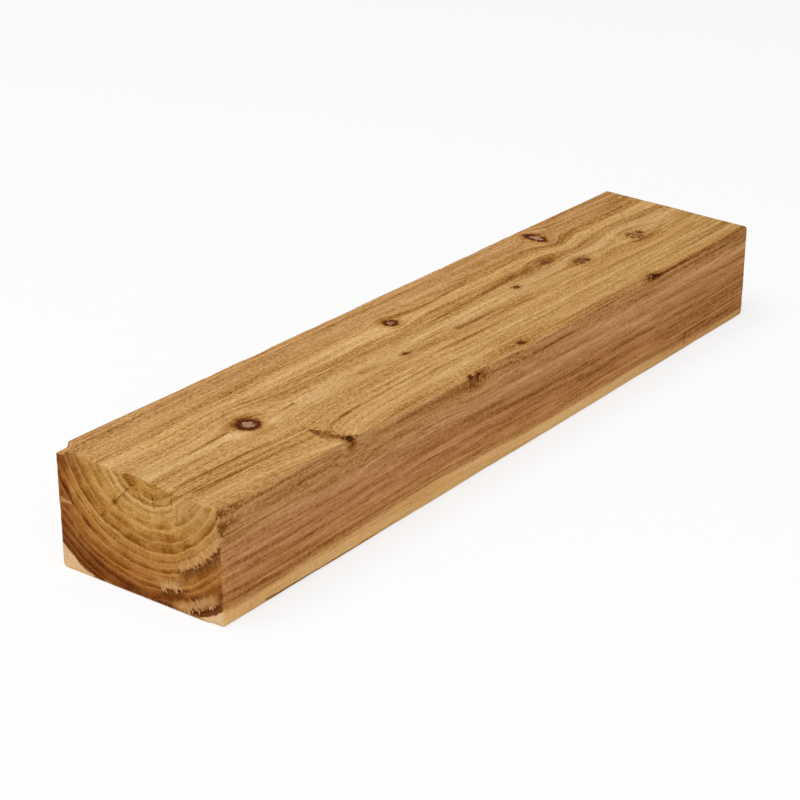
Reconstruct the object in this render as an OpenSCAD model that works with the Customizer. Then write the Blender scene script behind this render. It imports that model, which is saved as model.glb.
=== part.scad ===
// A short length of rough-sawn timber, one solid piece of stock.
// It lies flat on its underside, centred on the origin, with its length along X.
// The near end, with the torn heart and the broken corner, is at -X. The thinner long edge is at -Y.
// All sizes are in millimetres.

/* [Stock] */
// length of the timber from end to end
length = 600; // [300:10:1200]
// width across the flat faces
width = 124; // [90:1:180]
// thickness at the middle of the timber
thickness = 74; // [50:1:100]

/* [Saw cuts] */
// how much thicker the +Y edge is than the -Y edge, where the saw ran out of parallel
cross_fall = 4.5; // [0.5:0.5:8]
// thickness lost between the near end and the far end
saw_taper = 1.5; // [0.5:0.5:4]
// radius worn on the four long edges
arris_radius = 3; // [1:0.5:8]
// radius worn on the upright corners of the two ends
corner_radius = 2; // [0.5:0.5:6]

/* [Broken corner] */
// length of the broken corner along the timber
corner_chip_length = 10; // [4:1:25]
// width of the broken corner across the near end
corner_chip_width = 7; // [4:1:25]
// depth of the broken corner below the top face
corner_chip_depth = 3.5; // [1:0.5:10]

/* [Torn heart] */
// where the tear starts, across the near end from its middle
heart_chip_start = 9; // [-10:1:30]
// width of the tear along the top edge of the near end
heart_chip_width = 36; // [10:1:60]
// height of the tear down the near end
heart_chip_height = 32; // [5:1:60]
// depth of the tear into the near end
heart_chip_depth = 3; // [1:0.5:12]
// slope of the tear's lower lip, in degrees from upright
heart_chip_slope = 49; // [20:1:60]

/* [Hidden] */
$fn = 96;
fall_angle = atan(cross_fall / width);
taper_angle = atan(saw_taper / length);
spare = 60;
near_x = -length / 2;
near_rise = saw_taper / 2;

// Height of the top face at the near end, at a place across the width.
function near_top(y) = thickness + near_rise + y * cross_fall / width;

// Lower half of the section: two flat sides and the underside, with its two long edges worn round.
module lower_section() {
    inset = width / 2 - arris_radius;
    polygon([
        [-inset, 0],
        [inset, 0],
        [width / 2, arris_radius],
        [width / 2, thickness + spare],
        [-width / 2, thickness + spare],
        [-width / 2, arris_radius]
    ]);
    for (side = [-1, 1]) {
        translate([side * inset, arris_radius]) circle(r = arris_radius);
    }
}

// Upper half of the section: the top face slopes across the width, with its two long edges worn round.
module upper_section() {
    inset = width / 2 - arris_radius;
    drop = arris_radius / cos(fall_angle);
    slip = arris_radius * sin(fall_angle);
    lift = arris_radius * cos(fall_angle);
    high = thickness + inset * tan(fall_angle) - drop;
    low = thickness - inset * tan(fall_angle) - drop;
    polygon([
        [-width / 2, -spare],
        [width / 2, -spare],
        [width / 2, high],
        [inset - slip, high + lift],
        [-inset - slip, low + lift],
        [-width / 2, low]
    ]);
    translate([inset, high]) circle(r = arris_radius);
    translate([-inset, low]) circle(r = arris_radius);
}

// Outline seen from above, with the upright corners worn round.
module plan_outline() {
    along = length / 2 - corner_radius;
    across = width / 2 - corner_radius;
    square([2 * along, width], center = true);
    square([length, 2 * across], center = true);
    for (x = [-along, along]) {
        for (y = [-across, across]) {
            translate([x, y]) circle(r = corner_radius);
        }
    }
}

// Lays a section drawn across the timber along its length.
module along_timber() {
    rotate([90, 0, 90]) linear_extrude(height = length + 2 * spare, center = true) children();
}

// The piece of wood broken off the top corner of the near end.
module corner_chip() {
    translate([near_x - spare, width / 2 - corner_chip_width, near_top(width / 2) - corner_chip_depth])
        cube([spare + corner_chip_length, corner_chip_width + spare, corner_chip_depth + spare]);
}

// The wood torn out of the top edge of the near end, just under the heart.
// It is deepest where it starts and runs out along the edge and down the end.
module heart_chip() {
    lean = atan(heart_chip_depth / heart_chip_height);
    turn = atan(heart_chip_depth / heart_chip_width);
    translate([near_x + heart_chip_depth, heart_chip_start, near_top(heart_chip_start)])
        rotate([-heart_chip_slope, lean, -turn])
            translate([-spare, -2 * spare, -spare / 2])
                cube([spare, 2 * spare, 2 * spare]);
}

module timber() {
    color([0.62, 0.42, 0.22])
    difference() {
        intersection() {
            along_timber() lower_section();
            rotate([0, taper_angle, 0]) along_timber() upper_section();
            translate([0, 0, -spare]) linear_extrude(height = thickness + 3 * spare) plan_outline();
        }
        corner_chip();
        heart_chip();
    }
}

timber();
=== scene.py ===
import bpy
import numpy as np
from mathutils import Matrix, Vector


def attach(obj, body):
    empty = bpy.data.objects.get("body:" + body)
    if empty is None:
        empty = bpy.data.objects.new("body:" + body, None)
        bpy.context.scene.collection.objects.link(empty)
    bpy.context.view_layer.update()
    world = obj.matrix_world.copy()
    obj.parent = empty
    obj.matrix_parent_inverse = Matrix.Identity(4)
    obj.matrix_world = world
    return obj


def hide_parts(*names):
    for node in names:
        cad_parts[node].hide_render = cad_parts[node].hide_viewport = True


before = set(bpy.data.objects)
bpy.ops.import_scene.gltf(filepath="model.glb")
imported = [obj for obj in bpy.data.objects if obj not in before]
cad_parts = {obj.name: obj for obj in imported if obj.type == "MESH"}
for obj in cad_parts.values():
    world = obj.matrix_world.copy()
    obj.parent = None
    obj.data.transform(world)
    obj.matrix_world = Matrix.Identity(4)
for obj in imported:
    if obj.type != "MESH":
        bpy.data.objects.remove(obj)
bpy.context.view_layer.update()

# The timber
# One length of softwood, sawn from the log just below its heart, so the pith lies a little above the top.
# The long faces are rough from the band saw, both ends are cross-cut, and the edges have worn round.

MM = 0.001
LENGTH = 600.0
WIDTH = 124.0
THICKNESS = 74.0
CROSS_FALL = 4.5
SAW_TAPER = 1.5
NEAR_END = -LENGTH / 2
LOWEST = np.array([-LENGTH / 2, -WIDTH / 2, 0.0])
HIGHEST = np.array([LENGTH / 2, WIDTH / 2, THICKNESS])


def ease(low, high, value):
    """Zero below low, one above high, and the smooth cubic 3t^2 - 2t^3 between them."""
    t = np.clip((value - low) / (high - low), 0.0, 1.0)
    return t * t * (3.0 - 2.0 * t)


def bell(value, middle, spread):
    """One at the middle, falling off as the exponential of minus the squared distance over the spread."""
    return np.exp(-(((value - middle) / spread) ** 2))


def grown_noise(points, cell, seed):
    """Value noise from 0 to 1. Each corner of a grid of cells holds a fixed scrambled number,
    and a point takes the smooth blend of the eight corners round it."""
    place = points / np.asarray(cell, dtype=float)
    corner = np.floor(place).astype(np.int64)
    part = place - corner
    part = part * part * (3.0 - 2.0 * part)
    total = np.zeros(len(points))
    for step in np.ndindex(2, 2, 2):
        at = corner + np.array(step)
        mixed = at[:, 0] * 374761393 + at[:, 1] * 668265263 + at[:, 2] * 1442695041 + seed * 974634479
        mixed = mixed & 0xFFFFFFFF
        mixed = ((mixed ^ (mixed >> 13)) * 1274126177) & 0xFFFFFFFF
        mixed = mixed ^ (mixed >> 16)
        share = np.where(np.array(step) == 1, part, 1.0 - part).prod(axis=1)
        total += share * (mixed & 0xFFFF) / 65535.0
    return total


def face_quads(numbers, turned):
    """Quads of one flat grid of point numbers, turned over where the face looks the other way."""
    quads = np.stack([numbers[:-1, :-1], numbers[1:, :-1], numbers[1:, 1:], numbers[:-1, 1:]], axis=-1)
    quads = quads.reshape(-1, 4)
    return quads[:, ::-1] if turned else quads


def saw_lines(total, edge, edge_count, middle_count):
    """Places of the grid lines across a size: close together near both edges, wider in the middle."""
    first = np.linspace(0.0, edge, edge_count, endpoint=False)
    middle = np.linspace(edge, total - edge, middle_count, endpoint=False)
    last = np.linspace(total - edge, total, edge_count + 1)
    return np.concatenate([first, middle, last])


# Knots on the top face: place along and across, and half sizes along and across, in millimetres,
# then how dark the bark ring is, how pale the middle is, and how much of the ring has broken away.
TOP_KNOTS = {
    "large": (-205.5, -2.3, 9.0, 8.4, 0.95, 0.95, 0.0),
    "middle": (-26.8, 27.8, 6.0, 5.6, 0.88, 0.55, 0.15),
    "thick_edge": (173.0, 44.5, 6.0, 11.5, 0.8, 0.9, 0.45),
    "small": (156.0, -6.0, 8.4, 5.2, 0.58, 0.2, 0.4),
    "far": (228.0, -7.0, 10.4, 7.6, 0.5, 0.25, 0.5),
    "arris": (-182.5, -58.6, 4.4, 3.4, 0.8, 0.0, 0.4),
    "faint": (138.0, 12.6, 9.0, 4.6, 0.32, 0.0, 0.5),
    "speck_far": (81.6, 0.7, 3.8, 2.2, 0.6, 0.0, 0.3),
    "speck_edge": (3.1, -56.0, 4.2, 2.6, 0.55, 0.0, 0.4),
    "speck_heart": (-61.3, -10.0, 3.4, 1.8, 0.5, 0.0, 0.3),
}
# Knots on the thin side: place along and up, half sizes along and up, and the same three finishes.
SIDE_KNOTS = {
    "broken": (-54.5, 65.5, 9.4, 5.4, 0.26, 0.0, 0.72),
    "arris_speck": (163.0, 70.2, 8.0, 1.6, 0.65, 0.0, 0.4),
}

# The six faces are one closed grid: the skin of a block of points, each joined to its neighbours.
# The first stretch of the near end has a grid line at every millimetre.
CLOSE_STRETCH = 24
EDGE_STRETCH = 6
close_lines = np.linspace(0, CLOSE_STRETCH, CLOSE_STRETCH, endpoint=False)
far_lines = saw_lines(LENGTH - CLOSE_STRETCH, EDGE_STRETCH, 6, 190)[6:] + CLOSE_STRETCH
along = np.concatenate([close_lines, far_lines]) + NEAR_END
across = saw_lines(WIDTH, EDGE_STRETCH, 8, 86) - WIDTH / 2
upward = saw_lines(THICKNESS, EDGE_STRETCH, 8, 48)
block = (len(along), len(across), len(upward))
on_skin = np.ones(block, dtype=bool)
on_skin[1:-1, 1:-1, 1:-1] = False
number = np.full(block, -1)
number[on_skin] = np.arange(on_skin.sum())
quads = np.concatenate([
    face_quads(number[:, :, 0], True),
    face_quads(number[:, :, -1], False),
    face_quads(number[:, 0, :], False),
    face_quads(number[:, -1, :], True),
    face_quads(number[0, :, :], True),
    face_quads(number[-1, :, :], False),
])
i, j, k = np.nonzero(on_skin)
sawn = np.stack([along[i], across[j], upward[k]], axis=1)

# Worn edges: a point near an edge moves onto a quarter round whose radius wanders along the timber.
# The upright edge between the near end and the thin side is worn most, and the thick top edge least.
LEAST_ARRIS = 1.3
ARRIS_RANGE = 1.9
handling = 0.6 * grown_noise(sawn, (46, 70, 70), 3) + 0.4 * grown_noise(sawn, (11, 50, 50), 4)
arris = LEAST_ARRIS + ARRIS_RANGE * handling
arris = arris * (1.0 - 0.5 * ease(30, 56, sawn[:, 1]) * ease(56, 66, sawn[:, 2]))
end_edge = 0.6 + 0.9 * grown_noise(sawn, (40, 7, 7), 5)
handled = ease(-46, -60, sawn[:, 1]) * (sawn[:, 0] < 0)
end_edge = end_edge + handled * (1.0 + 2.4 * grown_noise(sawn, (40, 9, 7), 6))
radius = np.stack([end_edge, arris, arris], axis=1)
core = np.clip(sawn, LOWEST + radius, HIGHEST - radius)
lean = (sawn - core) / radius
outward = lean / np.linalg.norm(lean, axis=1, keepdims=True)
point = core + outward * radius

x = point[:, 0]
y = point[:, 1]
z = point[:, 2]
facing_up = np.clip(outward[:, 2], 0, 1)
facing_thin = np.clip(-outward[:, 1], 0, 1)
facing_end = np.abs(outward[:, 0])
near = np.clip(-outward[:, 0], 0, 1)
long_face = 1.0 - facing_end

# The place in the log: how far each point lies from the pith, which wanders a little along the timber.
top_rise = (THICKNESS + y * CROSS_FALL / WIDTH - x * SAW_TAPER / LENGTH) / THICKNESS
height = z * top_rise
PITH_Y = -2.0
PITH_Z = 93.0
pith_y = PITH_Y + 1.6 * np.sin((x - NEAR_END) / 118.0)
pith_z = PITH_Z + 1.4 * np.sin((x - NEAR_END) / 90.0) - 0.8 * np.sin((x - NEAR_END) / 41.0)
log_y = y - pith_y
log_z = height - pith_z
log_y = log_y + 11.0 * np.exp(-(log_y**2 + log_z**2) / 44.0**2)
# Beside the knot on the thin arris the fibres dip towards it in a long V.
DIP_DEPTH = 16.0
DIP_BEFORE = 48.0
DIP_PAST = 24.0
dip = DIP_DEPTH * ease(-15.0, -60.0, y) * ease(30, 60, height) * (1.0 - 0.8 * facing_thin)
past_knot = x - TOP_KNOTS["arris"][0]
log_y = log_y + dip * np.exp(-np.abs(past_knot) / np.where(past_knot < 0, DIP_BEFORE, DIP_PAST))
knot_pit = np.zeros(len(point))
for knot_x, knot_y, half_along, half_across, *_ in TOP_KNOTS.values():
    # Fibres part round a knot, so near it the log's own grid is drawn in towards the knot's middle line.
    reach = bell(x, knot_x, 2.6 * half_along) * bell(y, knot_y, 2.0 * half_across) * ease(40, 66, height)
    log_y = log_y - 0.8 * (y - knot_y) * reach
    log_z = log_z + 0.25 * half_across * reach
    ring = np.hypot((x - knot_x) / half_along, (y - knot_y) / half_across)
    knot_pit = knot_pit + facing_up * (0.45 * bell(ring, 0.8, 0.3) + 0.15 * bell(ring, 0.0, 0.5))
for knot_x, knot_z, half_along, half_up, *_ in SIDE_KNOTS.values():
    reach = bell(x, knot_x, 2.4 * half_along) * bell(height, knot_z, 2.2 * half_up) * ease(-25, -50, y)
    log_z = log_z - 0.7 * (height - knot_z) * reach
    ring = np.hypot((x - knot_x) / half_along, (height - knot_z) / half_up)
    knot_pit = knot_pit + facing_thin * 0.6 * bell(ring, 0.5, 0.4)
growth = np.hypot(log_y, log_z)

# Growth rings: the distance of each dark latewood line from the pith, and how dark that line is.
RINGS = (
    (20.5, 0.35), (28, 0.55), (32, 0.5), (40.5, 0.18), (46, 0.6), (53.7, 0.6), (60.3, 0.85), (66, 0.4),
    (69, 0.45), (72.8, 1.0), (80.5, 0.65), (84.8, 0.65), (90.5, 0.95), (95.8, 1.0), (99, 0.9),
)
LINE_END = 0.9
ring_places = np.array([(ring, ring + LINE_END) for ring, dark in RINGS]).ravel()
ring_darks = np.array([(dark, 0.0) for ring, dark in RINGS]).ravel()

# Relief left by the saw, measured inwards: slow waves and raised grain on the faces, ridges on the ends.
grain_cell = np.stack([x, log_y, log_z], axis=1)
raised_grain = 0.30 * grown_noise(point, (95, 40, 40), 11)
raised_grain = raised_grain + 0.22 * grown_noise(grain_cell, (60, 6, 6), 12)
raised_grain = raised_grain + 0.14 * grown_noise(grain_cell, (16, 2.6, 2.6), 13)
ring_ridge = 1.0 - np.interp(growth, ring_places, ring_darks, left=0.0)
cross_cut = 0.30 * grown_noise(point, (30, 11, 11), 14) + 0.22 * grown_noise(point, (30, 3.2, 3.2), 15)
cross_cut = cross_cut + 0.20 * ring_ridge

# Rows of torn earlywood on the near end: each row follows a ring, with the wood below it pulled out.
# Each row gives the distance of its toothed edge from the pith, and the bearings where it starts and stops.
TORN_ROWS = {
    "upper": (72.6, -150.0, -113.0),
    "lower_inner": (83.4, -111.0, -99.0),
    "lower_outer": (96.6, -126.0, -105.0),
}
bearing = np.degrees(np.arctan2(height - PITH_Z, y - PITH_Y))
from_pith = np.hypot(height - PITH_Z, y - PITH_Y)
pulled = np.zeros(len(point))
bare = np.zeros(len(point))
for row_ring, row_start, row_stop in TORN_ROWS.values():
    span = ease(row_start - 3, row_start + 2, bearing) * (1 - ease(row_stop - 3, row_stop + 3, bearing))
    wander = 1.6 * (grown_noise(point, (30, 5, 5), 16) - 0.5)
    below = from_pith - row_ring - wander
    pulled = pulled + span * ease(0.0, 1.6, below) * (1 - ease(3.0, 9.0, below))
    bare = bare + span * ease(-6.5, -2.0, below) * (1 - ease(0.0, 1.6, below))
pulled = np.clip(pulled, 0, 1) * near
bare = np.clip(bare, 0, 1) * near

# Chips out of the arrises: short flakes knocked off where the noise peaks.
edge = np.sort(np.abs(outward), axis=1)[:, 1]
flake = ease(0.66, 0.86, grown_noise(point, (13, 9, 9), 17)) * ease(0.1, 0.5, edge)
depth = long_face * raised_grain + facing_end * cross_cut + knot_pit
notch = ease(0.5, 0.75, grown_noise(point, (9, 30, 3.4), 22))
notch = notch * ease(0.1, 0.4, near) * ease(0.1, 0.4, facing_thin)
FLAKE_DEPTH = 0.45
NOTCH_DEPTH = 1.1
PULLED_DEPTH = 1.1
BARE_RISE = 0.25
NEAR_END_CUT = 0.5
UNDERSIDE_SHARE = 0.08
depth = depth + FLAKE_DEPTH * flake + NOTCH_DEPTH * notch
depth = depth + near * (NEAR_END_CUT + PULLED_DEPTH * pulled - BARE_RISE * bare)
depth = np.where(outward[:, 2] < -0.9, UNDERSIDE_SHARE * depth, depth)
point = point - outward * depth[:, None]

# The torn heart: the near end falls back, deepest on the left, to nothing on the right and below.
HEART_START = 9.0
HEART_WIDTH = 36.0
HEART_HEIGHT = 32.0
HEART_DEPTH = 3.0
HEART_SLOPE = 49.0
SQUEEZE = 14.0
from_top = THICKNESS - z
lip = (HEART_START - y) - from_top * np.tan(np.radians(HEART_SLOPE))
lip = lip + 3.6 * bell(from_top, 9.5, 5.0) + 2.4 * (grown_noise(point, (30, 4, 4), 18) - 0.5)
tear = 1.0 - (HEART_START - y) / HEART_WIDTH - from_top / HEART_HEIGHT
torn_heart = np.clip(tear, 0, 1) * ease(-0.4, 1.6, lip)
fall_back = HEART_DEPTH * torn_heart * (0.75 + 0.5 * grown_noise(point, (30, 2.4, 5), 19))
share = np.clip(1.0 - (x - NEAR_END) / SQUEEZE, 0, 1)
point[:, 0] = point[:, 0] + fall_back * share

# The broken corner: the top drops in a step at the thick edge of the near end.
CORNER_LENGTH = 10.0
CORNER_WIDTH = 7.0
CORNER_DEPTH = 3.5
ragged = 2.2 * (grown_noise(point, (3, 3, 30), 20) - 0.5)
broken = 1 - ease(CORNER_LENGTH - 0.8, CORNER_LENGTH + 0.8, x - NEAR_END + ragged)
broken = broken * ease(WIDTH / 2 - CORNER_WIDTH - 0.8, WIDTH / 2 - CORNER_WIDTH + 0.8, y + ragged)
drop = CORNER_DEPTH * broken * (0.85 + 0.3 * grown_noise(point, (4, 4, 4), 21))
point[:, 2] = point[:, 2] - drop * np.clip(1.0 - from_top / SQUEEZE, 0, 1)

# The saw ran out of parallel, so the height of every point follows the sloping top face.
point[:, 2] = point[:, 2] * top_rise

timber_mesh = bpy.data.meshes.new("timber")
timber_mesh.from_pydata((point * MM).tolist(), [], quads.tolist())
timber_mesh.validate()
timber_mesh.shade_smooth()
timber = bpy.data.objects.new("sawn_timber", timber_mesh)
bpy.context.scene.collection.objects.link(timber)


def keep_on_points(mesh, name, values):
    """Stores one number, or one place, for each point of the mesh under a name that the material reads."""
    kind = "FLOAT_VECTOR" if values.ndim == 2 else "FLOAT"
    field = "vector" if values.ndim == 2 else "value"
    kept = mesh.attributes.new(name, kind, "POINT")
    kept.data.foreach_set(field, np.ascontiguousarray(values, dtype=np.float32).ravel())


keep_on_points(timber_mesh, "in_log", np.stack([x, log_y, log_z], axis=1) * MM)
fray = 0.5 * (grown_noise(sawn, (40, 2.0, 2.6), 7) - 0.5)
blend = ease(-56, -61, y) * near
end_share = ease(0.45 - 0.25 * blend, 0.8 + 0.15 * blend, facing_end + fray * (1.0 - facing_end))
keep_on_points(timber_mesh, "end_grain", end_share)
keep_on_points(timber_mesh, "torn_heart", near * ease(-0.02, 0.42, tear) * ease(-0.4, 1.2, lip))
keep_on_points(timber_mesh, "worn", ease(0.15, 0.75, edge))


def paint(red, green, blue):
    """A colour written as screen values from 0 to 255, turned into the linear values that a shader takes."""
    screen = np.array([red, green, blue]) / 255.0
    linear = np.where(screen <= 0.04045, screen / 12.92, ((screen + 0.055) / 1.055) ** 2.4)
    return (*linear.tolist(), 1.0)


def feed(tree, socket, value):
    """Links a socket to another node's output, or sets it to a plain value."""
    if isinstance(value, bpy.types.NodeSocket):
        tree.links.new(value, socket)
    else:
        socket.default_value = value


def reckon(tree, operation, first, second=0.0, third=0.0):
    """One step of arithmetic on values."""
    step = tree.nodes.new("ShaderNodeMath")
    step.operation = operation
    for socket, value in zip(step.inputs, (first, second, third)):
        feed(tree, socket, value)
    return step.outputs[0]


def add_up(tree, start, parts):
    """A starting value plus each part times its own weight."""
    total = start
    for part, weight in parts:
        total = reckon(tree, "MULTIPLY_ADD", part, weight, total)
    return total


def move(tree, operation, first, second=(0.0, 0.0, 0.0)):
    """One step of arithmetic on places."""
    step = tree.nodes.new("ShaderNodeVectorMath")
    step.operation = operation
    feed(tree, step.inputs[0], first)
    feed(tree, step.inputs["Scale"] if operation == "SCALE" else step.inputs[1], second)
    return step.outputs["Value"] if operation in ("LENGTH", "DOT_PRODUCT") else step.outputs["Vector"]


def fade(tree, value, low, high, start=0.0, stop=1.0):
    """Eases from start to stop as the value goes from low to high."""
    step = tree.nodes.new("ShaderNodeMapRange")
    step.interpolation_type = "SMOOTHSTEP"
    for socket, given in zip(step.inputs, (value, low, high, start, stop)):
        feed(tree, socket, given)
    return step.outputs[0]


def mottle(tree, where, stretch, detail=2.0, rough=0.5):
    """Noise about zero, from -0.5 to 0.5, at a place with so many waves to the metre each way."""
    grain = tree.nodes.new("ShaderNodeTexNoise")
    grain.texture_mapping.scale = stretch
    feed(tree, grain.inputs["Vector"], where)
    grain.inputs["Scale"].default_value = 1.0
    grain.inputs["Detail"].default_value = detail
    grain.inputs["Roughness"].default_value = rough
    return reckon(tree, "SUBTRACT", grain.outputs[0], 0.5)


def ramp_of(tree, factor, stops):
    """A row of colours laid along a factor from 0 to 1, each with a value of its own as its alpha."""
    ramp = tree.nodes.new("ShaderNodeValToRGB")
    row = ramp.color_ramp.elements
    while len(row) < len(stops):
        row.new(1.0)
    for element, (place, colour) in zip(row, stops):
        element.position = place
        element.color = colour
    feed(tree, ramp.inputs[0], factor)
    return ramp.outputs


def colours_of(tree, factor, stops):
    """The colour at a factor along a row of screen colours."""
    return ramp_of(tree, factor, [(at, paint(*colour)) for at, colour in stops])["Color"]


def lay(tree, factor, under, over, how="MIX"):
    """Lays one colour over another, as strongly as the factor says."""
    coat = tree.nodes.new("ShaderNodeMix")
    coat.data_type = "RGBA"
    coat.blend_type = how
    feed(tree, coat.inputs[0], factor)
    feed(tree, coat.inputs[6], under)
    feed(tree, coat.inputs[7], over)
    return coat.outputs[2]


def steep(tree, amount, colour, deepest):
    """Soaks a colour: multiplies it by the deepest share of each channel, raised to the amount."""
    row = [(step, (*(np.array(deepest) ** step).tolist(), 1.0)) for step in np.linspace(0.0, 1.0, 6)]
    return lay(tree, 1.0, colour, ramp_of(tree, amount, row)["Color"], "MULTIPLY")


def brighten(tree, colour, share):
    """Multiplies a colour by a share."""
    shader = tree.nodes.new("ShaderNodeHueSaturation")
    feed(tree, shader.inputs["Value"], share)
    feed(tree, shader.inputs["Color"], colour)
    return shader.outputs[0]


def stored(tree, name):
    """What the mesh keeps on its points under a name."""
    reader = tree.nodes.new("ShaderNodeAttribute")
    reader.attribute_name = name
    return reader


def new_group(name, inputs, outputs):
    """An empty shader node group with named sockets, vectors for the inputs that are listed as places."""
    group = bpy.data.node_groups.new(name, "ShaderNodeTree")
    for title, kind in inputs:
        group.interface.new_socket(title, in_out="INPUT", socket_type="NodeSocket" + kind)
    for title in outputs:
        group.interface.new_socket(title, in_out="OUTPUT", socket_type="NodeSocketFloat")
    return group, group.nodes.new("NodeGroupInput").outputs, group.nodes.new("NodeGroupOutput").inputs


def use_group(tree, group, **values):
    """Places a group in a material and feeds its sockets, named with spaces for underscores."""
    placed = tree.nodes.new("ShaderNodeGroup")
    placed.node_tree = group
    for title, value in values.items():
        feed(tree, placed.inputs[title.replace("_", " ")], value)
    return placed.outputs


# Fibre streaks: lines along the grain at three widths, the fuzz that the saw leaves, and short dark cells.
fibre_group, fibre_in, fibre_out = new_group(
    "fibre_streaks", [("Place", "Vector")], ["Fine", "Line", "Band", "Fuzz", "Cell"]
)
feed(fibre_group, fibre_out["Fine"], mottle(fibre_group, fibre_in["Place"], (24.0, 720.0, 720.0), 2.0, 0.6))
feed(fibre_group, fibre_out["Line"], mottle(fibre_group, fibre_in["Place"], (9.0, 260.0, 260.0), 2.0, 0.55))
feed(fibre_group, fibre_out["Band"], mottle(fibre_group, fibre_in["Place"], (3.2, 80.0, 80.0), 2.0, 0.5))
feed(fibre_group, fibre_out["Fuzz"], mottle(fibre_group, fibre_in["Place"], (440.0, 760.0, 760.0), 2.0, 0.65))
cells = mottle(fibre_group, fibre_in["Place"], (95.0, 900.0, 900.0), 2.0, 0.5)
feed(fibre_group, fibre_out["Cell"], fade(fibre_group, cells, 0.08, 0.22))

# A knot: the end of a branch cut through, with a dark bark ring, a paler middle and a brown stain round it.
knot_group, knot_in, knot_out = new_group(
    "cut_knot",
    [("Place", "Vector"), ("Middle", "Vector"), ("Spread", "Vector"), ("Ragged", "Float"), ("Pale", "Float")],
    ["Heart", "Bark", "Stain"],
)
offset = move(knot_group, "SUBTRACT", knot_in["Place"], knot_in["Middle"])
offset = move(knot_group, "MULTIPLY", offset, knot_in["Spread"])
out_from = move(knot_group, "LENGTH", offset)
out_from = reckon(knot_group, "MULTIPLY_ADD", knot_in["Ragged"], 0.7, out_from)
heart = reckon(knot_group, "MULTIPLY", fade(knot_group, out_from, 0.36, 0.52, 1.0, 0.0), knot_in["Pale"])
bark = reckon(knot_group, "SUBTRACT", fade(knot_group, out_from, 0.58, 1.2, 1.0, 0.0), heart)
feed(knot_group, knot_out["Heart"], heart)
feed(knot_group, knot_out["Bark"], reckon(knot_group, "MAXIMUM", bark, 0.0))
feed(knot_group, knot_out["Stain"], fade(knot_group, out_from, 0.8, 2.2, 1.0, 0.0))

# A line, such as a check, a resin streak, a knot's tail or a dark line along an edge, drawn from a start
# along a run and tapering on its way.
line_group, line_in, line_out = new_group(
    "dark_line",
    [
        ("Place", "Vector"), ("Start", "Vector"), ("Run", "Vector"), ("Flatten", "Vector"),
        ("Width", "Float"), ("Waver", "Float"),
    ],
    ["Mask"],
)
offset = move(line_group, "SUBTRACT", line_in["Place"], line_in["Start"])
offset = move(line_group, "MULTIPLY", offset, line_in["Flatten"])
along_run = move(line_group, "DOT_PRODUCT", offset, line_in["Run"])
run_squared = move(line_group, "DOT_PRODUCT", line_in["Run"], line_in["Run"])
along_run = reckon(line_group, "DIVIDE", along_run, run_squared)
along_run = reckon(line_group, "MINIMUM", reckon(line_group, "MAXIMUM", along_run, 0.0), 1.0)
passed = move(line_group, "SCALE", line_in["Run"], along_run)
beside = move(line_group, "LENGTH", move(line_group, "SUBTRACT", offset, passed))
taper = reckon(line_group, "MULTIPLY_ADD", along_run, -0.7, 1.0)
line_width = reckon(line_group, "MULTIPLY", line_in["Width"], taper)
beside = reckon(line_group, "MULTIPLY_ADD", line_in["Waver"], line_width, beside)
feed(line_group, line_out["Mask"], fade(line_group, beside, 0.0, line_width, 1.0, 0.0))

# A torn row: bare pale fibre above a toothed edge that follows a ring, and the dark pit below it.
row_group, row_in, row_out = new_group(
    "torn_row",
    [
        ("Bearing", "Float"), ("From pith", "Float"), ("Teeth", "Float"),
        ("Ring", "Float"), ("First", "Float"), ("Last", "Float"),
    ],
    ["Bare", "Pulled"],
)
ROW_FADE = 3.0
past_first = reckon(row_group, "SUBTRACT", row_in["Bearing"], row_in["First"])
past_last = reckon(row_group, "SUBTRACT", row_in["Bearing"], row_in["Last"])
span = fade(row_group, past_first, -ROW_FADE, ROW_FADE)
span = reckon(row_group, "MULTIPLY", span, fade(row_group, past_last, -ROW_FADE, ROW_FADE, 1.0, 0.0))
below = reckon(row_group, "SUBTRACT", row_in["From pith"], row_in["Ring"])
TOOTH_LENGTH = 6.0
below = reckon(row_group, "MULTIPLY_ADD", row_in["Teeth"], TOOTH_LENGTH, below)
bare_share = fade(row_group, below, -7.5, -3.0)
bare_share = reckon(row_group, "MULTIPLY", bare_share, fade(row_group, below, -0.4, 0.4, 1.0, 0.0))
pulled_share = fade(row_group, below, -0.2, 1.4)
pulled_share = reckon(row_group, "MULTIPLY", pulled_share, fade(row_group, below, 3.0, 8.0, 1.0, 0.0))
feed(row_group, row_out["Bare"], reckon(row_group, "MULTIPLY", span, bare_share))
feed(row_group, row_out["Pulled"], reckon(row_group, "MULTIPLY", span, pulled_share))

wood = bpy.data.materials.new("rough_sawn_softwood")
wood.use_nodes = True
tree = wood.node_tree
tree.nodes.clear()
surface = tree.nodes.new("ShaderNodeBsdfPrincipled")
result = tree.nodes.new("ShaderNodeOutputMaterial")
tree.links.new(surface.outputs[0], result.inputs[0])
place = move(tree, "ADD", tree.nodes.new("ShaderNodeTexCoord").outputs["Object"])
in_log = stored(tree, "in_log").outputs["Vector"]
end_grain = stored(tree, "end_grain").outputs["Fac"]
fibre = use_group(tree, fibre_group, Place=in_log)

object_axes = tree.nodes.new("ShaderNodeSeparateXYZ")
feed(tree, object_axes.inputs[0], place)
ACROSS_IN_MM = (0.0, 1 / MM, 1 / MM)
end_offset = move(tree, "SUBTRACT", place, (0.0, PITH_Y * MM, PITH_Z * MM))
from_pith_now = move(tree, "LENGTH", move(tree, "MULTIPLY", end_offset, ACROSS_IN_MM))

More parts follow.
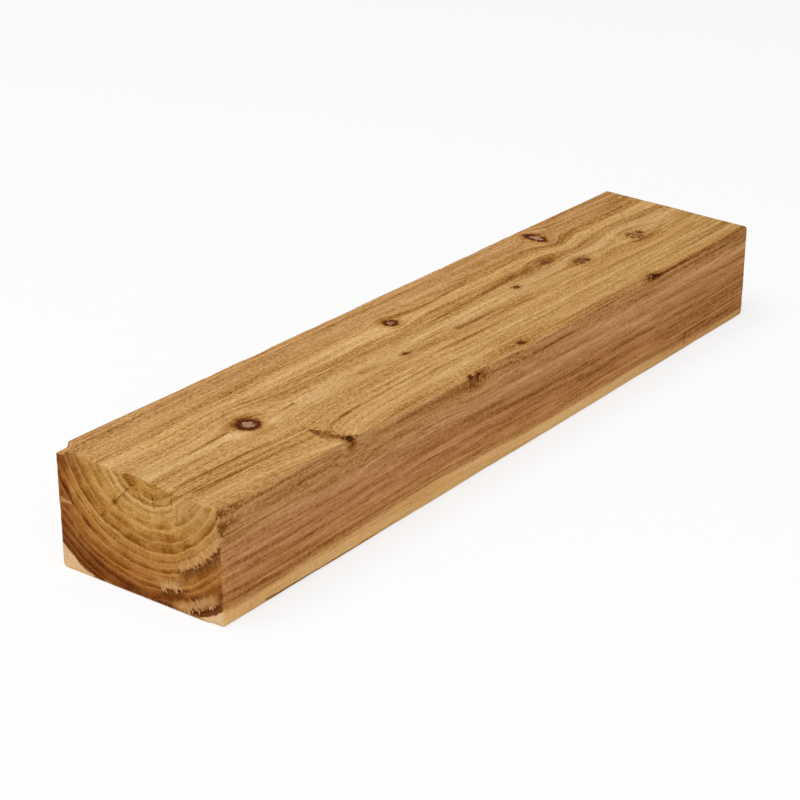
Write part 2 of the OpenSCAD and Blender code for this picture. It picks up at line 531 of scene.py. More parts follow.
# The distance from the pith in millimetres, shaken a little, is set against the row of dark latewood lines.
across_log = move(tree, "MULTIPLY", in_log, ACROSS_IN_MM)
from_heart = move(tree, "LENGTH", across_log)
from_heart = reckon(tree, "MULTIPLY_ADD", mottle(tree, in_log, (5.0, 34.0, 34.0)), 5.0, from_heart)
from_heart = reckon(tree, "MULTIPLY_ADD", mottle(tree, in_log, (20.0, 230.0, 230.0)), 2.2, from_heart)
OUTERMOST = 115.0
outness = reckon(tree, "DIVIDE", from_heart, OUTERMOST)
ring_row = [(0.0, (1, 1, 1, 0))]
ring_row += [(at / OUTERMOST, (1, 1, 1, dark)) for at, dark in zip(ring_places, ring_darks)]
ring_lines = ramp_of(tree, outness, ring_row)["Alpha"]
late = reckon(tree, "POWER", ring_lines, 1.7)
years = tree.nodes.new("ShaderNodeTexNoise")
years.noise_dimensions = "1D"
years.inputs["Scale"].default_value = 0.40
years.inputs["Detail"].default_value = 2.0
feed(tree, years.inputs["W"], from_heart)
fine_years = reckon(tree, "SUBTRACT", years.outputs[0], 0.5)
patchy = fade(tree, mottle(tree, in_log, (7.0, 28.0, 28.0)), -0.15, 0.15, 0.25, 1.1)

# Long faces: a tone from dark latewood to pale earlywood, tinted redder towards the outside of the log.
LONG_TONES = (
    (0.0, (106, 60, 17)), (0.2, (146, 98, 42)), (0.38, (174, 127, 67)), (0.52, (190, 145, 86)),
    (0.70, (206, 162, 104)), (0.88, (217, 176, 120)), (1.0, (230, 193, 140)),
)
TINT_SCALE = 1.1
TINTS = (
    (12, (1.0, 1.0, 1.0)), (24, (1.0, 1.0, 1.0)), (31, (1.06, 1.07, 1.05)), (38, (1.0, 1.0, 0.98)),
    (60, (1.0, 1.0, 1.0)), (65, (1.07, 0.93, 0.93)), (70, (1.09, 0.95, 0.99)), (78, (1.0, 0.80, 0.81)),
    (90, (1.0, 0.79, 0.77)), (98, (1.05, 0.84, 0.78)),
)
# Bands on the top face, where the saw ran near the heart: the place across the log, and the change of tone.
TOP_BANDS = (
    (-58, -0.03), (-50, 0.06), (-43, 0.06), (-36, -0.02), (-15, 0.0), (-8, -0.05), (8, 0.05), (18, 0.06),
    (25, 0.0), (32, 0.2), (40, -0.02), (52, 0.02), (57, 0.12), (62, 0.04),
)
BAND_REACH = 140.0
log_axes = tree.nodes.new("ShaderNodeSeparateXYZ")
feed(tree, log_axes.inputs[0], across_log)
band_row = [(0.5 + at / BAND_REACH, (1, 1, 1, 0.5 + tone)) for at, tone in TOP_BANDS]
across_now = add_up(tree, 0.5, [
    (log_axes.outputs["Y"], 1 / BAND_REACH), (mottle(tree, in_log, (6.0, 40.0, 40.0)), 0.03),
])
band_tone = reckon(tree, "SUBTRACT", ramp_of(tree, across_now, band_row)["Alpha"], 0.5)
on_top = fade(tree, log_axes.outputs["Z"], -32.0, -24.0)
band_tone = reckon(tree, "MULTIPLY", band_tone, on_top)
clouds = mottle(tree, in_log, (1.3, 24.0, 24.0))
on_side = fade(tree, from_pith_now, 58.0, 72.0)
line_share = reckon(tree, "MULTIPLY", patchy, add_up(tree, -0.48, [(on_side, 0.22)]))
fuzz = reckon(tree, "MULTIPLY", fibre["Fuzz"], add_up(tree, 1.0, [(on_side, -0.28)]))
fine_line = reckon(tree, "MULTIPLY", fibre["Fine"], add_up(tree, 0.66, [(on_side, 0.42)]))
long_tone = add_up(tree, 0.555, [
    (fine_line, 1.0), (fibre["Line"], 0.56), (fibre["Band"], 0.62), (fuzz, 1.2), (fine_years, 0.38),
    (clouds, 0.25), (band_tone, 1.0), (reckon(tree, "MULTIPLY", late, line_share), 1.0),
    (fibre["Cell"], -0.2),
])
long_colour = colours_of(tree, long_tone, LONG_TONES)
tint_row = [(ring / OUTERMOST, (*(np.array(tint) / TINT_SCALE).tolist(), 1.0)) for ring, tint in TINTS]
thick_top = fade(tree, object_axes.outputs["Y"], 0.048, 0.056)
thick_top = reckon(tree, "MULTIPLY", thick_top, fade(tree, object_axes.outputs["Z"], 0.058, 0.072))
plain_outness = reckon(tree, "DIVIDE", add_up(tree, from_pith_now, [(thick_top, -9.0)]), OUTERMOST)
long_colour = lay(tree, 1.0, long_colour, ramp_of(tree, plain_outness, tint_row)["Color"], "MULTIPLY")
long_colour = brighten(tree, long_colour, TINT_SCALE)
thick_edge = fade(tree, object_axes.outputs["Y"], 0.028, 0.048)
THICK_TINT = (0.96, 0.90, 0.93, 1.0)
long_colour = lay(tree, thick_edge, long_colour, THICK_TINT, "MULTIPLY")

# End grain: darker and redder outwards and at the thick top corner, paler at the thin one,
# with short torn strokes that run along the rays.
END_COLOURS = (
    (14, (198, 150, 86)), (24, (196, 149, 85)), (34, (210, 165, 102)), (41, (208, 161, 94)),
    (50, (203, 154, 88)), (60, (196, 145, 81)), (67, (194, 141, 78)), (76, (186, 130, 70)),
    (84, (182, 124, 66)), (89, (164, 107, 55)), (94, (156, 100, 52)), (100.4, (150, 94, 49)),
)
turn = reckon(tree, "ARCTAN2", log_axes.outputs["Z"], log_axes.outputs["Y"])
RAY_REACH = 65.0
polar = tree.nodes.new("ShaderNodeCombineXYZ")
feed(tree, polar.inputs[0], reckon(tree, "MULTIPLY", turn, RAY_REACH))
feed(tree, polar.inputs[1], from_heart)
feed(tree, polar.inputs[2], log_axes.outputs["X"])
strokes = mottle(tree, polar.outputs[0], (0.62, 0.15, 0.0), 2.0, 0.6)
ring_dashes = mottle(tree, polar.outputs[0], (0.07, 0.80, 0.0), 2.0, 0.6)
torn_heart_now = stored(tree, "torn_heart").outputs["Fac"]
end_shade = add_up(tree, 1.06, [
    (strokes, 0.6), (ring_dashes, 1.2), (fibre["Fuzz"], 1.15), (fine_years, 0.9), (fibre["Band"], 0.8),
    (fibre["Line"], 0.5), (reckon(tree, "MULTIPLY", torn_heart_now, fine_years), 1.2),
])
BRIGHTEST_END = 1.24
end_shade = reckon(tree, "MINIMUM", end_shade, BRIGHTEST_END)
end_row = [(ring / OUTERMOST, colour) for ring, colour in END_COLOURS]
end_colour = brighten(tree, colours_of(tree, outness, end_row), end_shade)
SHADE_SHARES = (1.04, 0.95, 0.66)
end_colour = steep(tree, fade(tree, end_shade, 1.15, 0.65), end_colour, SHADE_SHARES)
thick_side = fade(tree, object_axes.outputs["Y"], -0.015, 0.03)
thick_side = reckon(tree, "MULTIPLY", thick_side, fade(tree, outness, 0.58, 0.80))
THICK_SIDE_SHARES = (0.80, 0.72, 0.62)
end_colour = steep(tree, thick_side, end_colour, THICK_SIDE_SHARES)
thick_rim = fade(tree, add_up(tree, object_axes.outputs["Y"], [(fibre["Band"], 0.008)]), 0.050, 0.056)
thick_rim = reckon(tree, "MULTIPLY", thick_rim, fade(tree, object_axes.outputs["Z"], 0.028, 0.046))
RIM_SHARES = (0.74, 0.57, 0.46)
end_colour = steep(tree, thick_rim, end_colour, RIM_SHARES)
thick_corner = fade(tree, object_axes.outputs["Y"], 0.026, 0.052)
thick_corner = reckon(tree, "MULTIPLY", thick_corner, fade(tree, object_axes.outputs["Z"], 0.058, 0.068))
CORNER_SHARES = (0.78, 0.72, 0.74)
end_colour = steep(tree, thick_corner, end_colour, CORNER_SHARES)
thin_corner = fade(tree, object_axes.outputs["Y"], -0.020, -0.044, 0.0, 0.7)
thin_corner = reckon(tree, "MULTIPLY", thin_corner, fade(tree, object_axes.outputs["Z"], 0.044, 0.064))
PALE_CORNER = (212, 168, 110)
end_colour = lay(tree, thin_corner, end_colour, paint(*PALE_CORNER))
blotches = fade(tree, mottle(tree, polar.outputs[0], (0.07, 0.12, 0.0)), -0.16, 0.14, 0.35, 1.1)
late_end = reckon(tree, "MULTIPLY", ring_lines, blotches)
LATEWOOD_SHARES = (0.42, 0.25, 0.06)
end_colour = steep(tree, late_end, end_colour, LATEWOOD_SHARES)

# Sapwood: the pale outer wood, on both kinds of face. It narrows on the thin side and towards the far end.
SAP_RING = 101.0
sap_edge = add_up(tree, from_heart, [
    (fade(tree, object_axes.outputs["Y"], 0.0, -0.04), -1.0),
    (fade(tree, object_axes.outputs["X"], 0.12, 0.28), -3.0),
])
sapwood = fade(tree, sap_edge, SAP_RING - 0.4, SAP_RING + 0.6)
sap_long = fade(tree, sap_edge, SAP_RING - 1.6, SAP_RING + 1.6)
sap_tone = add_up(tree, 0.58, [
    (fibre["Fine"], 0.7), (fibre["Line"], 0.9), (fibre["Band"], 0.8), (fibre["Fuzz"], 0.9),
])
SAP_TONES = ((0.1, (208, 152, 88)), (0.5, (240, 187, 118)), (0.9, (252, 212, 146)))
sap_colour = colours_of(tree, sap_tone, SAP_TONES)
CUT_SAP = (232, 196, 156)
sap_end = lay(tree, 0.7, sap_colour, paint(*CUT_SAP))
FAR_SAP_SHARES = (0.86, 0.79, 0.74)
far_away = fade(tree, object_axes.outputs["X"], 0.02, 0.28)
sap_colour = steep(tree, far_away, sap_colour, FAR_SAP_SHARES)
long_colour = lay(tree, sap_long, long_colour, sap_colour)
end_colour = lay(tree, sapwood, end_colour, sap_end)
body = lay(tree, end_grain, long_colour, end_colour)

# Worn edges: the arrises show paler crushed fibre in places.
CRUSHED_FIBRE = (214, 170, 116)
worn = reckon(tree, "MULTIPLY", stored(tree, "worn").outputs["Fac"], fade(tree, fibre["Line"], -0.02, 0.12))
body = lay(tree, reckon(tree, "MULTIPLY", worn, 0.2), body, paint(*CRUSHED_FIBRE))

# Knots, each placed by its middle, with one over its half sizes as its spread.
ragged_edge = mottle(tree, place, (420.0, 420.0, 420.0), 2.0, 0.7)
crumbs = mottle(tree, place, (240.0, 240.0, 240.0), 2.0, 0.6)
hearts = 0.0
barks = 0.0
stains = 0.0
KNOT_DEPTH = 7.0


def top_height(place_x, place_y):
    """Height of the sloping top face at a place: the thickness, plus the cross fall, less the taper."""
    return THICKNESS + place_y * CROSS_FALL / WIDTH - place_x * SAW_TAPER / LENGTH


knots_on_faces = [
    ((knot_x, knot_y, top_height(knot_x, knot_y)), (half_along, half_across, KNOT_DEPTH), *finish)
    for knot_x, knot_y, half_along, half_across, *finish in TOP_KNOTS.values()
] + [
    ((knot_x, -WIDTH / 2, knot_z), (half_along, KNOT_DEPTH, half_up), *finish)
    for knot_x, knot_z, half_along, half_up, *finish in SIDE_KNOTS.values()
]
for middle, half_sizes, bark_dark, heart_pale, gaps in knots_on_faces:
    knot = use_group(
        tree, knot_group, Place=place, Ragged=ragged_edge, Pale=heart_pale,
        Middle=[value * MM for value in middle], Spread=[1 / (half * MM) for half in half_sizes],
    )
    gap_level = -0.2 + 0.3 * gaps
    whole = fade(tree, crumbs, gap_level - 0.05, gap_level + 0.05)
    this_bark = reckon(tree, "MULTIPLY", knot["Bark"], reckon(tree, "MULTIPLY", whole, bark_dark))
    hearts = reckon(tree, "MAXIMUM", knot["Heart"], hearts)
    barks = reckon(tree, "MAXIMUM", this_bark, barks)
    stains = reckon(tree, "MAXIMUM", reckon(tree, "MULTIPLY", knot["Stain"], bark_dark), stains)
STAIN_SHARES = (0.50, 0.36, 0.16)
BARK_SHARES = (0.095, 0.034, 0.008)
KNOT_HEART = (164, 126, 96)
stain_streaks = add_up(tree, 0.0, [(fibre["Line"], 1.0), (fibre["Fine"], 0.6)])
stain_patches = fade(tree, stain_streaks, 0.15, -0.1, 0.3, 0.95)
body = steep(tree, reckon(tree, "MULTIPLY", stains, stain_patches), body, STAIN_SHARES)
body = steep(tree, barks, body, BARK_SHARES)
heart_shade = add_up(tree, 1.0, [(fibre["Fuzz"], 1.8), (crumbs, 1.4)])
heart_colour = brighten(tree, paint(*KNOT_HEART), heart_shade)
body = lay(tree, hearts, body, heart_colour)

# Dark lines, and a few pale ones: each has a start and a stop in millimetres, a width and a strength.
# They are kept by the face that they lie on, and by whether they run along the grain or across it.
TOP_LINES = {
    "large_left": ((-211, 0.5, 74), (-258, -2.5, 74), 3.4, 0.34),
    "large_low": ((-210, -5, 74), (-240, -9, 74), 4.0, 0.35),
    "large_right": ((-199, -3, 74), (-166, -4, 74), 5.0, 0.45),
    "middle_right": ((-16, 29.5, 74), (66, 32.7, 74), 7.5, 0.5),
    "heart_dash": ((-104, -9, 74), (-52, -10.5, 74), 4.5, 0.34),
    "middle_dash": ((-4, -12, 74), (48, -13, 74), 5.5, 0.24),
    "middle_row": ((20, -17, 74), (70, -18, 74), 4.0, 0.28),
    "low_row": ((-40, -24, 74), (40, -26, 74), 4.0, 0.3),
    "low_line": ((-160, -36, 74), (-60, -34, 74), 3.6, 0.3),
    "near_row": ((-292, -24, 74), (-215, -27, 74), 4.0, 0.3),
    "near_low": ((-290, -36, 74), (-200, -42, 74), 3.6, 0.32),
    "faint_run": ((140, 12, 74), (0, 9, 74), 7.0, 0.35),
    "far_run": ((238, -8, 74), (276, -9, 74), 6.0, 0.35),
    "small_run": ((148, -6, 74), (118, -5, 74), 5.0, 0.35),
}
# lower_arris and lower_arris_far darken the thin side along its bottom edge, and far_arris darkens it just
# under the top arris.
SIDE_LINES = {
    "lower_arris": ((-262, -62, 1.8), (-176, -62, 1.2), 2.0, 0.7),
    "lower_arris_far": ((-176, -62, 1.2), (-96, -62, 1.0), 1.6, 0.45),
    "spike": ((212, -62, 12), (211, -62, 4), 3.4, 0.4),
    "far_arris": ((166, -62, 69.6), (288, -62, 69.2), 1.6, 0.3),
}
# lower_edge darkens the near end along its bottom edge, and lip_top and lip_low darken it along the rim of
# the torn heart.
END_LINES = {
    "check": ((-300, 4.4, 67.9), (-300, 19.5, 52.2), 1.2, 0.5),
    "check_spot": ((-300, 16.4, 55.4), (-300, 19.4, 52.2), 2.8, 0.6),
    "outer_spot": ((-300, 25.5, 45.8), (-300, 28.0, 42.8), 2.8, 0.5),
    "ray_crack": ((-300, -21.5, 45.9), (-300, -31.5, 21.9), 1.3, 0.22),
    "heart_line": ((-300, -27.4, 75), (-300, -26.7, 62), 1.3, 0.36),
    "middle_hair": ((-300, -30.3, 66.6), (-300, -29.8, 46.7), 1.2, 0.22),
    "thin_hair": ((-300, -39.3, 65.6), (-300, -46.3, 73.2), 1.2, 0.35),
    "tear_hair": ((-300, -12.1, 66), (-300, -13.6, 58.5), 1.3, 0.5),
    "lip_top": ((-300, 8.6, 75), (-300, 3.9, 67.8), 2.4, 0.26),
    "lip_low": ((-300, 3.9, 67.8), (-300, -9.3, 57.5), 2.0, 0.3),
    "thick_edge_line": ((-300, 56.5, 56), (-300, 50.5, 42.5), 3.4, 0.4),
    "ring_tear": ((-300, 42.0, 36.4), (-300, 24.0, 27.4), 3.2, 0.35),
    "lower_edge": ((-300, 14, 1.6), (-300, -36, 1.6), 5.0, 0.5),
    "thin_edge_top": ((-300, -61, 71), (-300, -59.5, 67), 3.4, 0.55),
    "thin_edge_low": ((-300, -61, 63.5), (-300, -61, 56.5), 2.6, 0.55),
}
SIDE_MARKS = {
    "left_bar": ((-62.6, -62, 70.6), (-62.4, -62, 61.0), 2.7, 0.95),
    "left_cap": ((-59.4, -62, 69.8), (-65.5, -62, 70.2), 2.2, 0.75),
    "right_bar": ((-54.8, -62, 70.4), (-53.4, -62, 61.8), 3.0, 0.95),
    "right_cap": ((-55.8, -62, 70.4), (-42.5, -62, 69.8), 2.6, 0.9),
    "hook": ((-45.5, -62, 67.6), (-50.4, -62, 66.0), 2.2, 0.7),
}
PALE_ALONG = {
    "beside_middle": ((-14, 24.8, 74), (62, 26.5, 74), 6.5, 0.5),
    "before_middle": ((-38, 23.5, 74), (-96, 22.5, 74), 5.5, 0.4),
    "under_arris": ((-170, -52, 74), (-90, -49, 74), 6.0, 0.35),
}
PALE_ACROSS = {
    "thick_edge_nick": ((-300, 60.2, 44.2), (-300, 52.0, 43.4), 2.6, 0.9),
    "ring_lip": ((-300, 58.0, 38.5), (-300, 44.0, 31.5), 1.4, 0.34),
    "outer_lip": ((-300, 56.0, 23.0), (-300, 28.0, 6.5), 1.3, 0.28),
}
SPIKE_LINES = {
    "arris_spike": ((-186.4, -46.5, 72.4), (-183.6, -57.5, 72), 8.0, 0.95),
    "spike_tip": ((-186.4, -46.5, 72.4), (-188.6, -35.5, 72.8), 8.0, 0.95),
    "arris_root": ((-184, -56, 72), (-176, -60, 72), 4.0, 0.6),
}
waver = mottle(tree, place, (170.0, 170.0, 170.0), 2.0, 0.65)


def draw(lines, flatten):
    """The strongest of a set of lines at each place, each line as strong as it is listed."""
    strongest = 0.0
    for start, stop, width, strength in lines.values():
        line = use_group(
            tree, line_group, Place=place, Waver=waver, Flatten=flatten, Width=width * MM,
            Start=[value * MM for value in start], Run=[(b - a) * MM for a, b in zip(start, stop)],
        )
        strongest = reckon(tree, "MAXIMUM", reckon(tree, "MULTIPLY", line["Mask"], strength), strongest)
    return strongest


streaky = fade(tree, add_up(tree, 0.0, [(fibre["Line"], 1.0), (fibre["Fine"], 0.7)]), -0.14, 0.12, 1.0, 0.1)
drawn_along = reckon(tree, "MAXIMUM", draw(TOP_LINES, (1, 1, 0.1)), draw(SIDE_LINES, (1, 0.1, 1)))
drawn_along = reckon(tree, "MULTIPLY", drawn_along, streaky)
broken_up = fade(tree, add_up(tree, 0.0, [(fibre["Fuzz"], 1.0), (crumbs, 0.6)]), -0.14, 0.14, 1.0, 0.2)
drawn_across = reckon(tree, "MAXIMUM", draw(END_LINES, (0.1, 1, 1)), draw(SPIKE_LINES, (1, 1, 0.3)))
drawn_across = reckon(tree, "MAXIMUM", drawn_across, draw(SIDE_MARKS, (1, 0.6, 1)))
drawn = reckon(tree, "MAXIMUM", drawn_along, reckon(tree, "MULTIPLY", drawn_across, broken_up))
LINE_SHARES = (0.16, 0.065, 0.012)
PALE_FIBRE = (220, 172, 110)
body = steep(tree, drawn, body, LINE_SHARES)
pale_along = reckon(tree, "MULTIPLY", draw(PALE_ALONG, (1, 1, 0.1)), streaky)
pale_across = reckon(tree, "MULTIPLY", draw(PALE_ACROSS, (0.1, 1, 1)), broken_up)
body = lay(tree, reckon(tree, "MAXIMUM", pale_along, pale_across), body, paint(*PALE_FIBRE))

# Torn places on the near end: bare pale fibre, and the dark pits below it.
above_pith = reckon(tree, "SUBTRACT", object_axes.outputs["Z"], PITH_Z * MM)
beside_pith = reckon(tree, "SUBTRACT", object_axes.outputs["Y"], PITH_Y * MM)
bearing_now = reckon(tree, "DEGREES", reckon(tree, "ARCTAN2", above_pith, beside_pith))
teeth_noise = tree.nodes.new("ShaderNodeTexNoise")
teeth_noise.noise_dimensions = "1D"
teeth_noise.inputs["Scale"].default_value = 0.5
teeth_noise.inputs["Detail"].default_value = 2.0
feed(tree, teeth_noise.inputs["W"], bearing_now)
teeth = reckon(tree, "SUBTRACT", teeth_noise.outputs[0], 0.5)
near_end_only = fade(tree, object_axes.outputs["X"], -0.29, -0.28, 1.0, 0.0)
near_end_only = reckon(tree, "MULTIPLY", end_grain, near_end_only)
bare_now = 0.0
pulled_now = 0.0
for row_ring, row_start, row_stop in TORN_ROWS.values():
    torn = use_group(
        tree, row_group, Bearing=bearing_now, From_pith=from_pith_now, Teeth=teeth,
        Ring=row_ring, First=row_start, Last=row_stop,
    )
    bare_now = reckon(tree, "MAXIMUM", torn["Bare"], bare_now)
    pulled_now = reckon(tree, "MAXIMUM", torn["Pulled"], pulled_now)
bare_now = reckon(tree, "MULTIPLY", bare_now, near_end_only)
pulled_now = reckon(tree, "MULTIPLY", pulled_now, near_end_only)
pulled_now = reckon(tree, "MULTIPLY", pulled_now, reckon(tree, "SUBTRACT", 1.0, sapwood))
bare_tone = add_up(tree, 0.5, [(strokes, 1.6), (fibre["Fuzz"], 0.8)])
BARE_TONES = ((0.1, (186, 134, 76)), (0.5, (212, 162, 100)), (0.9, (232, 188, 130)))
bare_colour = colours_of(tree, bare_tone, BARE_TONES)
body = lay(tree, reckon(tree, "MULTIPLY", bare_now, 0.72), body, bare_colour)
pit_shade = add_up(tree, 0.68, [(strokes, 1.5)])
PIT_BROWN = (106, 55, 18)
body = lay(tree, reckon(tree, "MULTIPLY", pulled_now, pit_shade), body, paint(*PIT_BROWN))
TORN_HEART_SHARES = (0.96, 0.92, 0.84)
body = steep(tree, torn_heart_now, body, TORN_HEART_SHARES)
tree.links.new(body, surface.inputs["Base Color"])

rough = add_up(tree, 0.74, [(fibre["Fine"], 0.3), (fibre["Fuzz"], 0.2)])
tree.links.new(rough, surface.inputs["Roughness"])
DRY_SHEEN = 0.05
surface.inputs["Specular IOR Level"].default_value = DRY_SHEEN
relief = add_up(tree, 0.0, [
    (late, 0.3), (fibre["Fine"], 1.5), (fibre["Line"], 0.8), (fuzz, 2.2), (barks, -0.5), (drawn, -1.2),
    (reckon(tree, "MULTIPLY", strokes, end_grain), 1.2),
])
RELIEF_STRENGTH = 0.7
RELIEF_DEPTH = 0.45
bump = tree.nodes.new("ShaderNodeBump")
bump.inputs["Strength"].default_value = RELIEF_STRENGTH
bump.inputs["Distance"].default_value = RELIEF_DEPTH * MM
tree.links.new(relief, bump.inputs["Height"])
tree.links.new(bump.outputs[0], surface.inputs["Normal"])
timber_mesh.materials.append(wood)

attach(timber, "root")
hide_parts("timber")

# The torn fibres
# Tufts of pale earlywood that the saw pulled out of the near end and left hanging below three rings.
# Each tuft is a flat sliver of the timber itself, rooted in the end and lifted a little at its tip.

STATIONS = 5
ROOT_X = NEAR_END + 0.95
FIRST_TUFT = -140.0
# Each row gives how many slivers hang from the torn row of that name, and their shortest and longest length.
TUFTS = {
    "upper": (18, 1.0, 2.4),
    "lower_inner": (10, 1.6, 3.8),
    "lower_outer": (16, 1.8, 4.0),
}


def slivers(root, fall, lift, width, thick):
    """Closed tapered slivers. At a share t of its length a sliver's middle is its root plus the fall times t
    plus the lift times t squared. Its four corners lie half a width and half a thickness away, shrinking as
    1 - 0.75 t."""
    t = np.linspace(0.0, 1.0, STATIONS)[None, :, None]
    middle = root[:, None, :] + fall[:, None, :] * t + lift[:, None, :] * t**2
    outwards = np.array([-1.0, 0.0, 0.0])
    sideways = np.cross(fall, outwards)
    sideways = sideways / np.linalg.norm(sideways, axis=1, keepdims=True)
    shrink = (1.0 - 0.75 * t)[..., None]
    beside = np.array([-0.5, 0.5, 0.5, -0.5])[None, None, :, None]
    above = np.array([-0.5, -0.5, 0.5, 0.5])[None, None, :, None]
    across_it = beside * width[:, None, None, None] * sideways[:, None, None, :]
    through_it = above * thick[:, None, None, None] * outwards
    points = middle[:, :, None, :] + shrink * (across_it + through_it)
    ring = np.arange(STATIONS * 4).reshape(STATIONS, 4)
    turned = np.roll(ring, -1, axis=1)
    walls = np.stack([ring[:-1], ring[1:], turned[1:], turned[:-1]], axis=-1).reshape(-1, 4)
    one = np.concatenate([walls, ring[:1], ring[-1:, ::-1]])
    every = one[None] + (np.arange(len(root)) * STATIONS * 4)[:, None, None]
    return points.reshape(-1, 3), every.reshape(-1, 4)


chance = np.random.default_rng(41)
roots = []
lengths = []
for row, (count, shortest, longest) in TUFTS.items():
    row_ring, row_start, row_stop = TORN_ROWS[row]
    at = np.radians(chance.uniform(max(row_start, FIRST_TUFT), row_stop, count))
    reach = row_ring - 1.2 + chance.uniform(-1.2, 0.8, count)
    root_y = PITH_Y + reach * np.cos(at)
    root_z = PITH_Z + reach * np.sin(at)
    roots.append(np.stack([np.full(count, ROOT_X), root_y, root_z], axis=1))
    lengths.append(chance.uniform(shortest, longest, count))
roots = np.concatenate(roots)
lengths = np.concatenate(lengths)
tufts = len(roots)
sway = chance.uniform(-0.35, 0.35, tufts)
fall = lengths[:, None] * np.stack([np.zeros(tufts), -0.25 + sway, -np.ones(tufts)], axis=1)
lift = np.stack([chance.uniform(-0.5, 0.1, tufts), np.zeros(tufts), np.zeros(tufts)], axis=1)
tuft_points, tuft_quads = slivers(
    roots, fall, lift, chance.uniform(1.0, 2.2, tufts), chance.uniform(0.3, 0.5, tufts)
)
LOWEST_TIP = 0.3
tuft_points[:, 2] = np.maximum(tuft_points[:, 2], LOWEST_TIP)
tuft_mesh = bpy.data.meshes.new("torn_fibres")
tuft_mesh.from_pydata((tuft_points * MM).tolist(), [], tuft_quads.tolist())
tuft_mesh.validate()
torn_fibres = bpy.data.objects.new("torn_fibres", tuft_mesh)
bpy.context.scene.collection.objects.link(torn_fibres)

fibre_skin = bpy.data.materials.new("torn_earlywood")
fibre_skin.use_nodes = True
tuft_tree = fibre_skin.node_tree
tuft_tree.nodes.clear()
tuft_surface = tuft_tree.nodes.new("ShaderNodeBsdfPrincipled")
tuft_result = tuft_tree.nodes.new("ShaderNodeOutputMaterial")
tuft_tree.links.new(tuft_surface.outputs[0], tuft_result.inputs[0])
tuft_place = tuft_tree.nodes.new("ShaderNodeTexCoord").outputs["Object"]
tuft_fibre = use_group(tuft_tree, fibre_group, Place=tuft_place)
tuft_tone = add_up(tuft_tree, 0.5, [(tuft_fibre["Line"], 1.2), (tuft_fibre["Fine"], 0.8)])
TUFT_COLOURS = ((0.15, (182, 132, 78)), (0.5, (208, 160, 103)), (0.85, (228, 184, 130)))
tuft_colour = colours_of(tuft_tree, tuft_tone, TUFT_COLOURS)
tuft_tree.links.new(tuft_colour, tuft_surface.inputs["Base Color"])
tuft_tree.links.new(add_up(tuft_tree, 0.8, [(tuft_fibre["Fine"], 0.3)]), tuft_surface.inputs["Roughness"])
tuft_surface.inputs["Specular IOR Level"].default_value = DRY_SHEEN
tuft_mesh.materials.append(fibre_skin)

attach(torn_fibres, "root")

# The floor and the light
# A pale studio floor under a large soft lamp overhead and a small one at the side, with even light around.
# The floor shows nearly white to the camera and still takes the shadow of the timber.

FLOOR_HALF = 6.0
FLOOR_DROP = 0.0002
FLOOR_WHITE = (0.94, 0.94, 0.94, 1)
FLOOR_GLOW = 0.75
SKY_LIGHT = 0.37
floor_mesh = bpy.data.meshes.new("floor")
floor_corners = FLOOR_HALF * np.array([(-1, -1, 0), (1, -1, 0), (1, 1, 0), (-1, 1, 0)])
floor_mesh.from_pydata(floor_corners.tolist(), [], [(0, 1, 2, 3)])
floor = bpy.data.objects.new("floor", floor_mesh)
floor.location.z = -FLOOR_DROP
bpy.context.scene.collection.objects.link(floor)
floor_paint = bpy.data.materials.new("pale_floor")
floor_paint.use_nodes = True
floor_tree = floor_paint.node_tree
floor_tree.nodes.clear()
floor_result = floor_tree.nodes.new("ShaderNodeOutputMaterial")
matt = floor_tree.nodes.new("ShaderNodeBsdfDiffuse")
matt.inputs["Color"].default_value = FLOOR_WHITE
glow = floor_tree.nodes.new("ShaderNodeEmission")
seen = floor_tree.nodes.new("ShaderNodeLightPath")
seen_floor = reckon(floor_tree, "MAXIMUM", seen.outputs["Is Camera Ray"], seen.outputs["Is Glossy Ray"])
seen_floor = reckon(floor_tree, "MAXIMUM", seen_floor, seen.outputs["Is Transmission Ray"])
share_seen = reckon(floor_tree, "MULTIPLY", seen_floor, FLOOR_GLOW)
floor_mix = floor_tree.nodes.new("ShaderNodeMixShader")
feed(floor_tree, floor_mix.inputs[0], share_seen)
floor_tree.links.new(matt.outputs[0], floor_mix.inputs[1])
floor_tree.links.new(glow.outputs[0], floor_mix.inputs[2])
floor_tree.links.new(floor_mix.outputs[0], floor_result.inputs[0])
floor_mesh.materials.append(floor_paint)

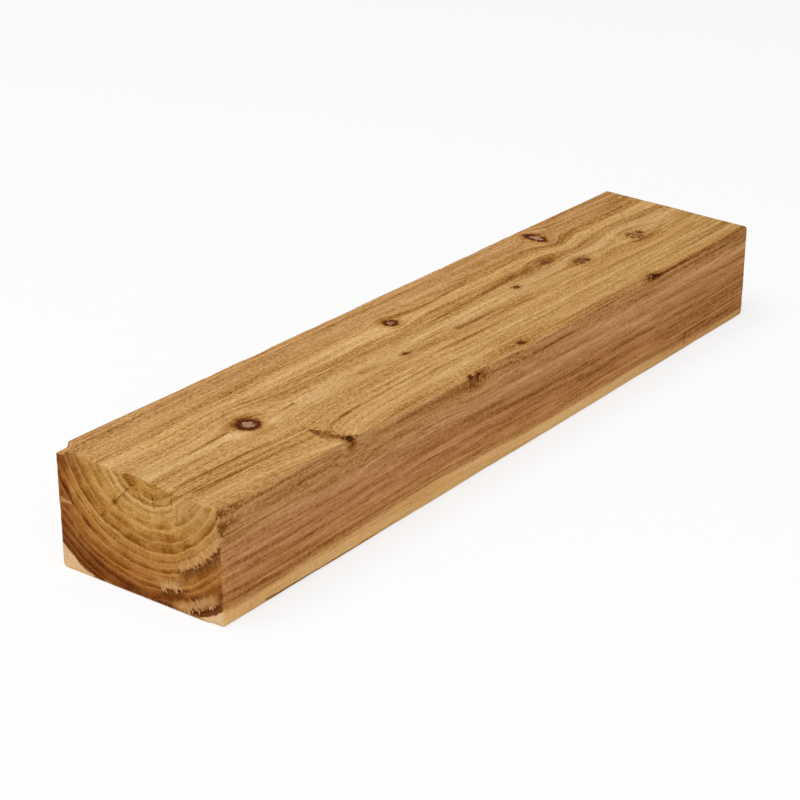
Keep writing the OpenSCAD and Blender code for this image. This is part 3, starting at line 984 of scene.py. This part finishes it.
world = bpy.data.worlds.new("studio")
bpy.context.scene.world = world
world.use_nodes = True
sky_tree = world.node_tree
sky_tree.nodes.clear()
sky_result = sky_tree.nodes.new("ShaderNodeOutputWorld")
sky = sky_tree.nodes.new("ShaderNodeBackground")
sky_seen = sky_tree.nodes.new("ShaderNodeLightPath")
seen_ray = reckon(sky_tree, "MAXIMUM", sky_seen.outputs["Is Camera Ray"], sky_seen.outputs["Is Glossy Ray"])
seen_ray = reckon(sky_tree, "MAXIMUM", seen_ray, sky_seen.outputs["Is Transmission Ray"])
feed(sky_tree, sky.inputs["Strength"], fade(sky_tree, seen_ray, 0.0, 1.0, SKY_LIGHT, 1.0))
sky_tree.links.new(sky.outputs[0], sky_result.inputs[0])


def aim(obj, target):
    """Turns an object so that its own -Z axis points at a place."""
    way = Vector(target) - obj.location
    obj.rotation_euler = way.to_track_quat("-Z", "Y").to_euler()


# Each lamp gives its place, the side of its square and its power in watts.
LAMPS = {
    "overhead_soft_box": ((-1.55, 0.3, 4.4), 3.5, 184.0),
    "side_soft_box": ((-0.6, -2.6, 1.3), 1.5, 4.0),
}
for name, (lamp_place, lamp_side, lamp_power) in LAMPS.items():
    lamp_data = bpy.data.lights.new(name, "AREA")
    lamp_data.shape = "SQUARE"
    lamp_data.size = lamp_side
    lamp_data.energy = lamp_power
    lamp = bpy.data.objects.new(name, lamp_data)
    lamp.location = lamp_place
    bpy.context.scene.collection.objects.link(lamp)
    aim(lamp, (0.0, 0.0, 0.0))

# The camera
# Stands where the photograph was taken from: in front of the near end, to the right, and a little above.

FILM_WIDTH = 36.0
LENS = 93.17
CAMERA_PLACE = (-1.0398, -0.7349, 0.5716)
CAMERA_TARGET = (-0.0565, -0.0021, 0.0375)
camera_data = bpy.data.cameras.new("camera")
camera_data.sensor_width = FILM_WIDTH
camera_data.lens = LENS
camera = bpy.data.objects.new("camera", camera_data)
camera.location = CAMERA_PLACE
bpy.context.scene.collection.objects.link(camera)
aim(camera, CAMERA_TARGET)
bpy.context.scene.camera = camera
bpy.context.scene.view_settings.view_transform = "Standard"
